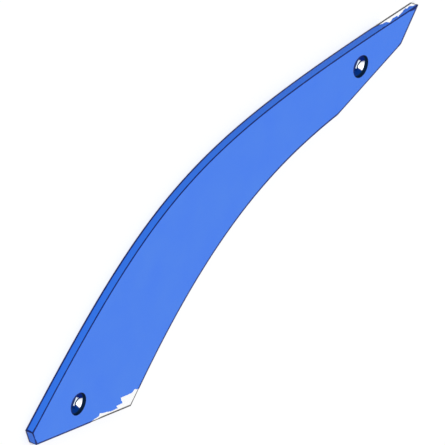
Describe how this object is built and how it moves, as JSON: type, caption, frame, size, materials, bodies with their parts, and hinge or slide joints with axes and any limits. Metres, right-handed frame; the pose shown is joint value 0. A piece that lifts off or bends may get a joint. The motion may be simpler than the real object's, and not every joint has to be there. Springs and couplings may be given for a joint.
{
  "type": "mouldboard strip",
  "caption": "Flat bowed slat of a slatted plough mouldboard, with a square sunk bolt hole near each slanted end.",
  "frame": {"origin": "on the back face, midway between the two bolt holes", "axes": "+X along the line of the bolt holes from the broad end to the tip, +Y towards the bowed top edge, +Z out of the front face"},
  "size_m": [0.6805, 0.1692, 0.01],
  "materials": {
    "painted_steel": "smooth blue machinery enamel on wear steel, dark and thin on the arrises, chipped to bare steel at two places"
  },
  "bodies": {
    "root": {"mouldboard_strip": "painted_steel"}
  },
  "joints": []
}
